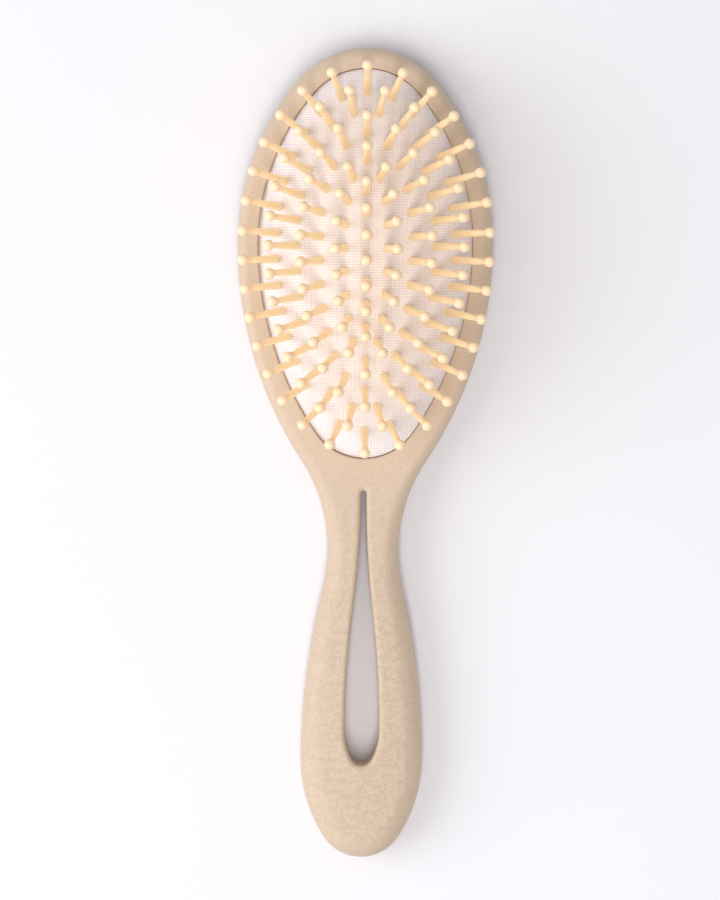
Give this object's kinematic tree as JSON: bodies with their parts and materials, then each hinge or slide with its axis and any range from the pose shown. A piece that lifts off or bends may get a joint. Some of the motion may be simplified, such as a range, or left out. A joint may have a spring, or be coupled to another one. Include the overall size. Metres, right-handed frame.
{
  "type": "detangling brush",
  "caption": "Oval cushion hair brush with rings of ball-tipped pins in a domed pad, clamped in a two-piece moulded body with a loop handle; the pad yields and its pins rock when pressed.",
  "frame": {"origin": "under the middle of the brush's length and width, on the surface that its back lies on", "axes": "+Z out through the pins, +Y to the tip of the head, -Y to the handle's end, +X to the right"},
  "size_m": [0.0708, 0.225, 0.0414],
  "materials": {
    "moulded_body": "fine embossed grain",
    "cushion": "woven cloth face",
    "pins": "satin"
  },
  "bodies": {
    "shell": {"front_shell": "moulded_body", "back_shell": "moulded_body", "cushion_pad": "cushion"},
    "edge_pins_top": {"edge_pins_top": "pins"},
    "edge_pins_foot": {"edge_pins_foot": "pins"},
    "edge_pins_right_1": {"edge_pins_right_1": "pins"},
    "edge_pins_left_1": {"edge_pins_left_1": "pins"},
    "edge_pins_right_2": {"edge_pins_right_2": "pins"},
    "edge_pins_left_2": {"edge_pins_left_2": "pins"},
    "edge_pins_right_3": {"edge_pins_right_3": "pins"},
    "edge_pins_left_3": {"edge_pins_left_3": "pins"},
    "edge_pins_right_4": {"edge_pins_right_4": "pins"},
    "edge_pins_left_4": {"edge_pins_left_4": "pins"},
    "edge_pins_right_5": {"edge_pins_right_5": "pins"},
    "edge_pins_left_5": {"edge_pins_left_5": "pins"},
    "outer_pins_right_1": {"outer_pins_right_1": "pins"},
    "outer_pins_left_1": {"outer_pins_left_1": "pins"},
    "outer_pins_right_2": {"outer_pins_right_2": "pins"},
    "outer_pins_left_2": {"outer_pins_left_2": "pins"},
    "outer_pins_right_3": {"outer_pins_right_3": "pins"},
    "outer_pins_left_3": {"outer_pins_left_3": "pins"},
    "outer_pins_right_4": {"outer_pins_right_4": "pins"},
    "outer_pins_left_4": {"outer_pins_left_4": "pins"},
    "middle_pins_top": {"middle_pins_top": "pins"},
    "middle_pins_foot": {"middle_pins_foot": "pins"},
    "middle_pins_right_1": {"middle_pins_right_1": "pins"},
    "middle_pins_left_1": {"middle_pins_left_1": "pins"},
    "middle_pins_right_2": {"middle_pins_right_2": "pins"},
    "middle_pins_left_2": {"middle_pins_left_2": "pins"},
    "middle_pins_right_3": {"middle_pins_right_3": "pins"},
    "middle_pins_left_3": {"middle_pins_left_3": "pins"},
    "inner_pins_top": {"inner_pins_top": "pins"},
    "inner_pins_foot": {"inner_pins_foot": "pins"},
    "inner_pins_right_1": {"inner_pins_right_1": "pins"},
    "inner_pins_left_1": {"inner_pins_left_1": "pins"},
    "inner_pins_right_2": {"inner_pins_right_2": "pins"},
    "inner_pins_left_2": {"inner_pins_left_2": "pins"},
    "inner_pins_right_3": {"inner_pins_right_3": "pins"},
    "inner_pins_left_3": {"inner_pins_left_3": "pins"},
    "centre_pins": {"centre_pins": "pins"}
  },
  "joints": [
    {"name": "cushion_press", "type": "slide", "parent": "shell", "child": "centre_pins", "axis": [0, 0, -1], "range_m": [0, 0.004], "stiffness_N_per_m": 3000, "deforming": ["cushion_pad"]},
    {"name": "edge_pins_top_rock", "type": "hinge", "parent": "shell", "child": "edge_pins_top", "pos_m": [0, 0.10862, 0.01337], "axis": [1, 0, 0], "range_deg": [0, 7.36]},
    {"name": "edge_pins_foot_rock", "type": "hinge", "parent": "shell", "child": "edge_pins_foot", "pos_m": [0, -0.0028, 0.01329], "axis": [-1, 0, 0], "range_deg": [0, 6.21]},
    {"name": "edge_pins_right_1_rock", "type": "hinge", "parent": "shell", "child": "edge_pins_right_1", "pos_m": [0.01757, 0.09984, 0.01355], "axis": [0.7434, -0.6688, 0], "range_deg": [0, 8.18]},
    {"name": "edge_pins_left_1_rock", "type": "hinge", "parent": "shell", "child": "edge_pins_left_1", "pos_m": [-0.01757, 0.09984, 0.01355], "axis": [0.7434, 0.6688, 0], "range_deg": [0, 8.18]},
    {"name": "edge_pins_right_2_rock", "type": "hinge", "parent": "shell", "child": "edge_pins_right_2", "pos_m": [0.02953, 0.07748, 0.01388], "axis": [0.2801, -0.96, 0], "range_deg": [0, 9.77]},
    {"name": "edge_pins_left_2_rock", "type": "hinge", "parent": "shell", "child": "edge_pins_left_2", "pos_m": [-0.02953, 0.07748, 0.01388], "axis": [0.2801, 0.96, 0], "range_deg": [0, 9.77]},
    {"name": "edge_pins_right_3_rock", "type": "hinge", "parent": "shell", "child": "edge_pins_right_3", "pos_m": [0.03197, 0.05371, 0.01398], "axis": [-0.0454, -0.999, 0], "range_deg": [0, 10.12]},
    {"name": "edge_pins_left_3_rock", "type": "hinge", "parent": "shell", "child": "edge_pins_left_3", "pos_m": [-0.03197, 0.05371, 0.01398], "axis": [-0.0454, 0.999, 0], "range_deg": [0, 10.12]},
    {"name": "edge_pins_right_4_rock", "type": "hinge", "parent": "shell", "child": "edge_pins_right_4", "pos_m": [0.0285, 0.03057, 0.01382], "axis": [-0.294, -0.9558, 0], "range_deg": [0, 9.47]},
    {"name": "edge_pins_left_4_rock", "type": "hinge", "parent": "shell", "child": "edge_pins_left_4", "pos_m": [-0.0285, 0.03057, 0.01382], "axis": [-0.294, 0.9558, 0], "range_deg": [0, 9.47]},
    {"name": "edge_pins_right_5_rock", "type": "hinge", "parent": "shell", "child": "edge_pins_right_5", "pos_m": [0.01784, 0.00793, 0.01347], "axis": [-0.6955, -0.7186, 0], "range_deg": [0, 7.47]},
    {"name": "edge_pins_left_5_rock", "type": "hinge", "parent": "shell", "child": "edge_pins_left_5", "pos_m": [-0.01784, 0.00793, 0.01347], "axis": [-0.6955, 0.7186, 0], "range_deg": [0, 7.47]},
    {"name": "outer_pins_right_1_rock", "type": "hinge", "parent": "shell", "child": "outer_pins_right_1", "pos_m": [0.02182, 0.09872, 0.01536], "axis": [0.7209, -0.693, 0], "range_deg": [0, 7.01]},
    {"name": "outer_pins_left_1_rock", "type": "hinge", "parent": "shell", "child": "outer_pins_left_1", "pos_m": [-0.02182, 0.09872, 0.01536], "axis": [0.7209, 0.693, 0], "range_deg": [0, 7.01]},
    {"name": "outer_pins_right_2_rock", "type": "hinge", "parent": "shell", "child": "outer_pins_right_2", "pos_m": [0.03462, 0.06675, 0.01612], "axis": [0.1278, -0.9918, 0], "range_deg": [0, 8.39]},
    {"name": "outer_pins_left_2_rock", "type": "hinge", "parent": "shell", "child": "outer_pins_left_2", "pos_m": [-0.03462, 0.06675, 0.01612], "axis": [0.1278, 0.9918, 0], "range_deg": [0, 8.39]},
    {"name": "outer_pins_right_3_rock", "type": "hinge", "parent": "shell", "child": "outer_pins_right_3", "pos_m": [0.03372, 0.04063, 0.01601], "axis": [-0.2012, -0.9795, 0], "range_deg": [0, 8.24]},
    {"name": "outer_pins_left_3_rock", "type": "hinge", "parent": "shell", "child": "outer_pins_left_3", "pos_m": [-0.03372, 0.04063, 0.01601], "axis": [-0.2012, 0.9795, 0], "range_deg": [0, 8.24]},
    {"name": "outer_pins_right_4_rock", "type": "hinge", "parent": "shell", "child": "outer_pins_right_4", "pos_m": [0.0223, 0.00962, 0.01517], "axis": [-0.6882, -0.7255, 0], "range_deg": [0, 6.44]},
    {"name": "outer_pins_left_4_rock", "type": "hinge", "parent": "shell", "child": "outer_pins_left_4", "pos_m": [-0.0223, 0.00962, 0.01517], "axis": [-0.6882, 0.7255, 0], "range_deg": [0, 6.44]},
    {"name": "middle_pins_top_rock", "type": "hinge", "parent": "shell", "child": "middle_pins_top", "pos_m": [0, 0.11455, 0.01643], "axis": [1, 0, 0], "range_deg": [0, 5.48]},
    {"name": "middle_pins_foot_rock", "type": "hinge", "parent": "shell", "child": "middle_pins_foot", "pos_m": [0, -0.00744, 0.01581], "axis": [-1, 0, 0], "range_deg": [0, 4.93]},
    {"name": "middle_pins_right_1_rock", "type": "hinge", "parent": "shell", "child": "middle_pins_right_1", "pos_m": [0.03423, 0.09415, 0.01742], "axis": [0.5855, -0.8107, 0], "range_deg": [0, 5.57]},
    {"name": "middle_pins_left_1_rock", "type": "hinge", "parent": "shell", "child": "middle_pins_left_1", "pos_m": [-0.03423, 0.09415, 0.01742], "axis": [0.5855, 0.8107, 0], "range_deg": [0, 5.57]},
    {"name": "middle_pins_right_2_rock", "type": "hinge", "parent": "shell", "child": "middle_pins_right_2", "pos_m": [0.04369, 0.05068, 0.01803], "axis": [-0.0957, -0.9954, 0], "range_deg": [0, 5.96]},
    {"name": "middle_pins_left_2_rock", "type": "hinge", "parent": "shell", "child": "middle_pins_left_2", "pos_m": [-0.04369, 0.05068, 0.01803], "axis": [-0.0957, 0.9954, 0], "range_deg": [0, 5.96]},
    {"name": "middle_pins_right_3_rock", "type": "hinge", "parent": "shell", "child": "middle_pins_right_3", "pos_m": [0.03183, 0.01268, 0.01697], "axis": [-0.6229, -0.7823, 0], "range_deg": [0, 5.36]},
    {"name": "middle_pins_left_3_rock", "type": "hinge", "parent": "shell", "child": "middle_pins_left_3", "pos_m": [-0.03183, 0.01268, 0.01697], "axis": [-0.6229, 0.7823, 0], "range_deg": [0, 5.36]},
    {"name": "inner_pins_top_rock", "type": "hinge", "parent": "shell", "child": "inner_pins_top", "pos_m": [0, 0.12364, 0.01778], "axis": [1, 0, 0], "range_deg": [0, 4.23]},
    {"name": "inner_pins_foot_rock", "type": "hinge", "parent": "shell", "child": "inner_pins_foot", "pos_m": [0, -0.01473, 0.01718], "axis": [-1, 0, 0], "range_deg": [0, 3.99]},
    {"name": "inner_pins_right_1_rock", "type": "hinge", "parent": "shell", "child": "inner_pins_right_1", "pos_m": [0.05266, 0.11338, 0.01881], "axis": [0.6728, -0.7398, 0], "range_deg": [0, 3.22]},
    {"name": "inner_pins_left_1_rock", "type": "hinge", "parent": "shell", "child": "inner_pins_left_1", "pos_m": [-0.05266, 0.11338, 0.01881], "axis": [0.6728, 0.7398, 0], "range_deg": [0, 3.22]},
    {"name": "inner_pins_right_2_rock", "type": "hinge", "parent": "shell", "child": "inner_pins_right_2", "pos_m": [0.07915, 0.03941, 0.01922], "axis": [-0.1938, -0.981, 0], "range_deg": [0, 2.93]},
    {"name": "inner_pins_left_2_rock", "type": "hinge", "parent": "shell", "child": "inner_pins_left_2", "pos_m": [-0.07915, 0.03941, 0.01922], "axis": [-0.1938, 0.981, 0], "range_deg": [0, 2.93]},
    {"name": "inner_pins_right_3_rock", "type": "hinge", "parent": "shell", "child": "inner_pins_right_3", "pos_m": [0.04186, -0.00707, 0.01836], "axis": [-0.7679, -0.6405, 0], "range_deg": [0, 3.35]},
    {"name": "inner_pins_left_3_rock", "type": "hinge", "parent": "shell", "child": "inner_pins_left_3", "pos_m": [-0.04186, -0.00707, 0.01836], "axis": [-0.7679, 0.6405, 0], "range_deg": [0, 3.35]}
  ],
  "couplings": [
    {"joint": "edge_pins_top_rock", "follows": "cushion_press", "rad_per_m": 32.095},
    {"joint": "edge_pins_foot_rock", "follows": "cushion_press", "rad_per_m": 27.076},
    {"joint": "edge_pins_right_1_rock", "follows": "cushion_press", "rad_per_m": 35.677},
    {"joint": "edge_pins_left_1_rock", "follows": "cushion_press", "rad_per_m": 35.677},
    {"joint": "edge_pins_right_2_rock", "follows": "cushion_press", "rad_per_m": 42.579},
    {"joint": "edge_pins_left_2_rock", "follows": "cushion_press", "rad_per_m": 42.579},
    {"joint": "edge_pins_right_3_rock", "follows": "cushion_press", "rad_per_m": 44.114},
    {"joint": "edge_pins_left_3_rock", "follows": "cushion_press", "rad_per_m": 44.114},
    {"joint": "edge_pins_right_4_rock", "follows": "cushion_press", "rad_per_m": 41.285},
    {"joint": "edge_pins_left_4_rock", "follows": "cushion_press", "rad_per_m": 41.285},
    {"joint": "edge_pins_right_5_rock", "follows": "cushion_press", "rad_per_m": 32.551},
    {"joint": "edge_pins_left_5_rock", "follows": "cushion_press", "rad_per_m": 32.551},
    {"joint": "outer_pins_right_1_rock", "follows": "cushion_press", "rad_per_m": 30.574},
    {"joint": "outer_pins_left_1_rock", "follows": "cushion_press", "rad_per_m": 30.574},
    {"joint": "outer_pins_right_2_rock", "follows": "cushion_press", "rad_per_m": 36.57},
    {"joint": "outer_pins_left_2_rock", "follows": "cushion_press", "rad_per_m": 36.57},
    {"joint": "outer_pins_right_3_rock", "follows": "cushion_press", "rad_per_m": 35.924},
    {"joint": "outer_pins_left_3_rock", "follows": "cushion_press", "rad_per_m": 35.924},
    {"joint": "outer_pins_right_4_rock", "follows": "cushion_press", "rad_per_m": 28.067},
    {"joint": "outer_pins_left_4_rock", "follows": "cushion_press", "rad_per_m": 28.067},
    {"joint": "middle_pins_top_rock", "follows": "cushion_press", "rad_per_m": 23.868},
    {"joint": "middle_pins_foot_rock", "follows": "cushion_press", "rad_per_m": 21.484},
    {"joint": "middle_pins_right_1_rock", "follows": "cushion_press", "rad_per_m": 24.284},
    {"joint": "middle_pins_left_1_rock", "follows": "cushion_press", "rad_per_m": 24.284},
    {"joint": "middle_pins_right_2_rock", "follows": "cushion_press", "rad_per_m": 25.979},
    {"joint": "middle_pins_left_2_rock", "follows": "cushion_press", "rad_per_m": 25.979},
    {"joint": "middle_pins_right_3_rock", "follows": "cushion_press", "rad_per_m": 23.35},
    {"joint": "middle_pins_left_3_rock", "follows": "cushion_press", "rad_per_m": 23.35},
    {"joint": "inner_pins_top_rock", "follows": "cushion_press", "rad_per_m": 18.444},
    {"joint": "inner_pins_foot_rock", "follows": "cushion_press", "rad_per_m": 17.388},
    {"joint": "inner_pins_right_1_rock", "follows": "cushion_press", "rad_per_m": 14.034},
    {"joint": "inner_pins_left_1_rock", "follows": "cushion_press", "rad_per_m": 14.034},
    {"joint": "inner_pins_right_2_rock", "follows": "cushion_press", "rad_per_m": 12.767},
    {"joint": "inner_pins_left_2_rock", "follows": "cushion_press", "rad_per_m": 12.767},
    {"joint": "inner_pins_right_3_rock", "follows": "cushion_press", "rad_per_m": 14.586},
    {"joint": "inner_pins_left_3_rock", "follows": "cushion_press", "rad_per_m": 14.586}
  ]
}
